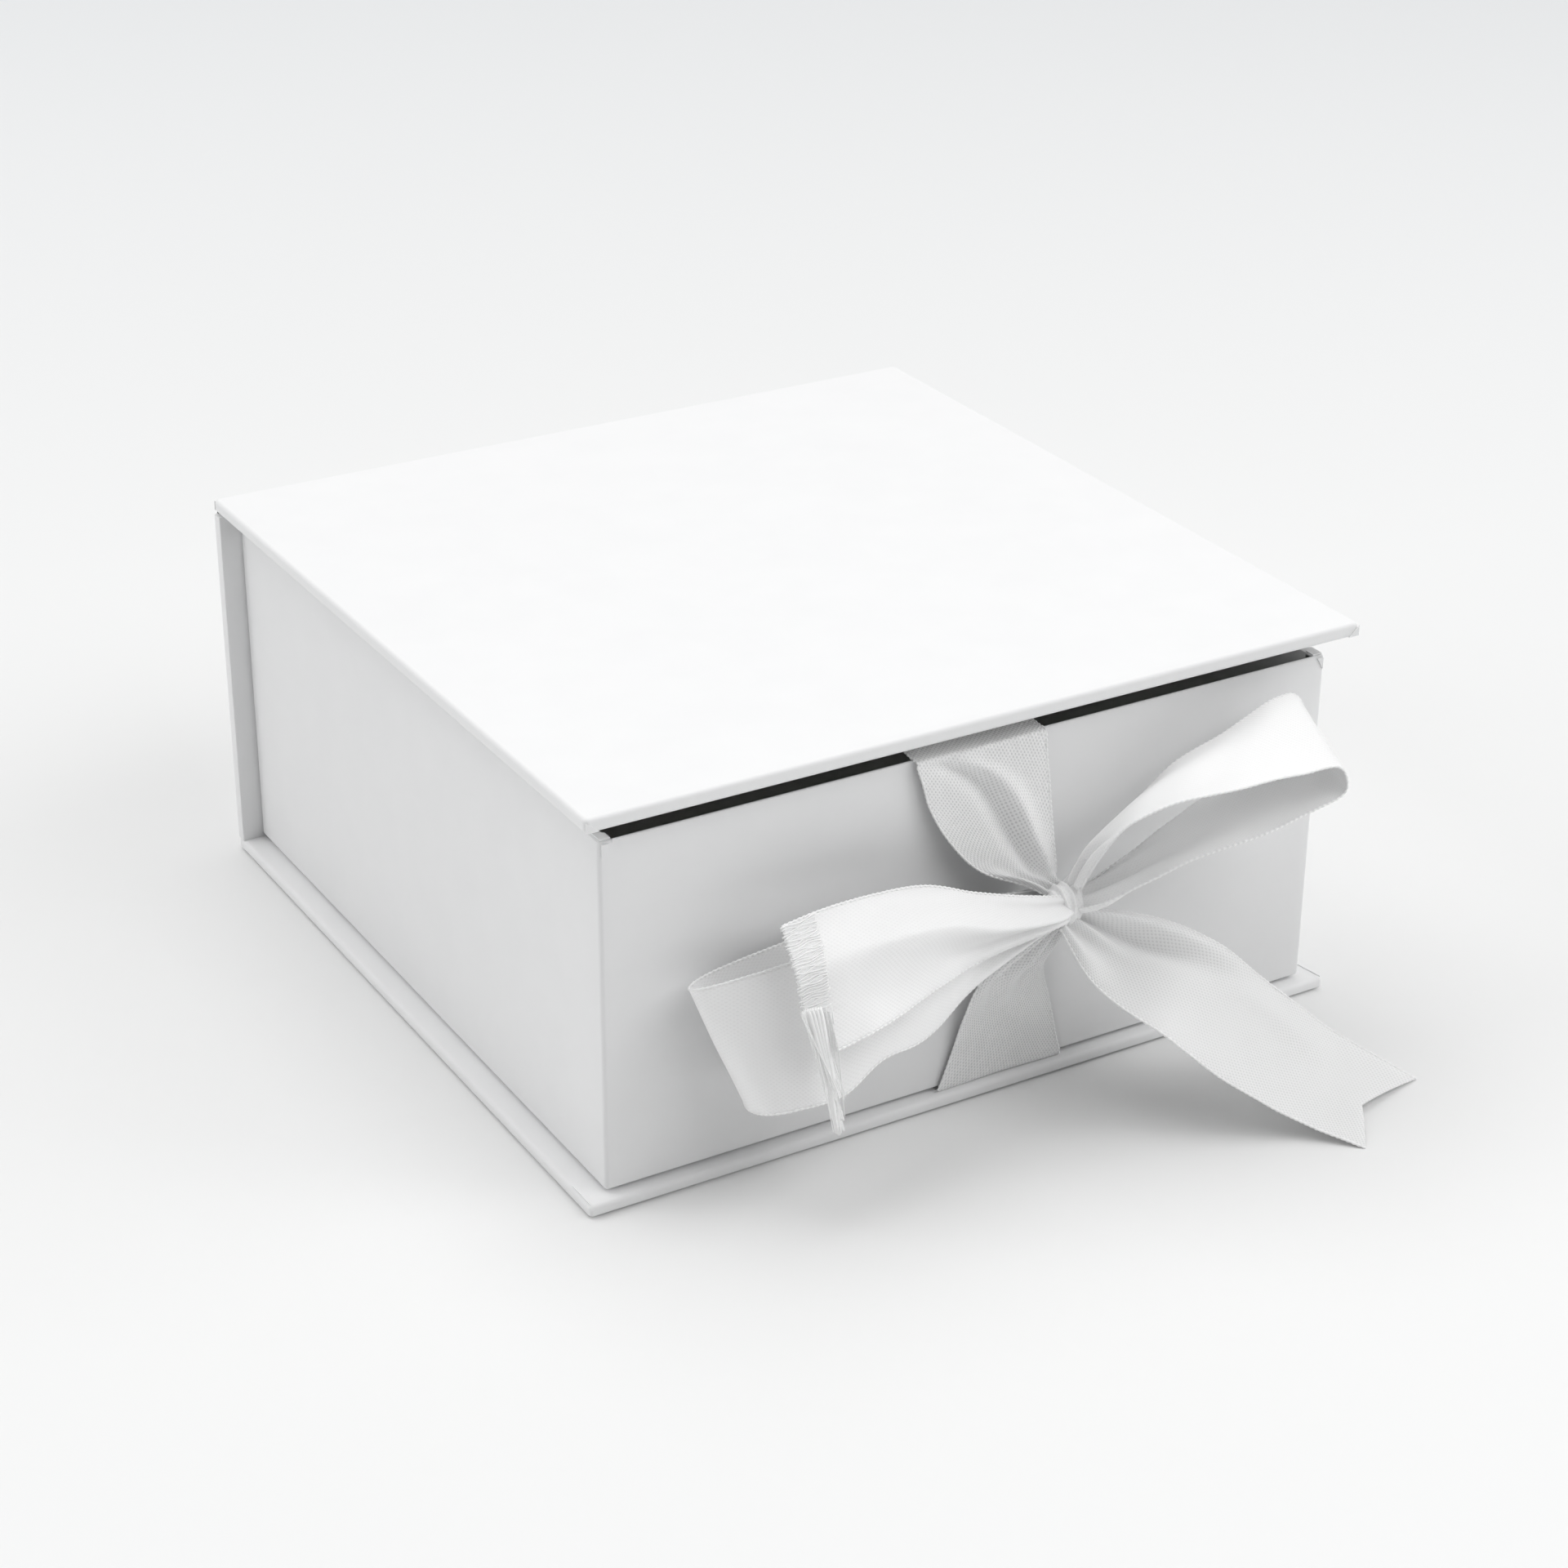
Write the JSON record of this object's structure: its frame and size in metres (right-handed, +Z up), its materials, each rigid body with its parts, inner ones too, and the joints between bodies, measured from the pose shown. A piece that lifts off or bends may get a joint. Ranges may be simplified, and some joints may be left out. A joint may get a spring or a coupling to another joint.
{
  "type": "favor box",
  "caption": "Square paper-wrapped favor box: a board case with spine and hinged lid around a glued tray, tied shut over the front with a satin ribbon bow.",
  "frame": {"origin": "middle of the underside of the case base, without the bow", "axes": "+X to the right seen from the bow, -Y out of the front wall towards the bow, +Z up"},
  "size_m": [0.15, 0.1962, 0.0737],
  "materials": {
    "wrap_paper": "smooth matt white coated paper",
    "lining_paper": "uncoated white lining paper",
    "greyboard": "raw recycled greyboard",
    "stay_tape": "gummed kraft paper tape",
    "ribbon": "white single-faced satin, matt twill back"
  },
  "bodies": {
    "box": {"base_board": "greyboard", "base_wrap": "wrap_paper", "spine_board": "greyboard", "spine_wrap": "wrap_paper", "hinge_crease": "wrap_paper", "tray_bottom_board": "greyboard", "tray_front_board": "greyboard", "tray_back_board": "greyboard", "tray_left_board": "greyboard", "tray_right_board": "greyboard", "corner_stays": "stay_tape", "tray_wrap": "wrap_paper", "tray_liner": "lining_paper", "base_ribbon": "ribbon", "bow_knot": "ribbon", "bow_left_loop": "ribbon", "bow_right_loop": "ribbon", "bow_left_tail": "ribbon", "bow_right_tail": "ribbon"},
    "lid": {"lid_board": "greyboard", "lid_wrap": "wrap_paper", "lid_liner": "lining_paper", "lid_ribbon_tab": "ribbon"},
    "lid_tie": {"lid_ribbon": "ribbon"}
  },
  "joints": [
    {"name": "lid_hinge", "type": "hinge", "parent": "box", "child": "lid", "pos_m": [0, 0.075, 0.07085], "axis": [-1, 0, 0], "range_deg": [0, 180]},
    {"name": "lid_ribbon_swing", "type": "hinge", "parent": "lid", "child": "lid_tie", "pos_m": [-0.001, -0.0455, 0.0703], "axis": [-1, 0, 0], "range_deg": [-130, 0]}
  ],
  "couplings": [
    {"joint": "lid_ribbon_swing", "follows": "lid_hinge", "ratio": -0.72}
  ]
}
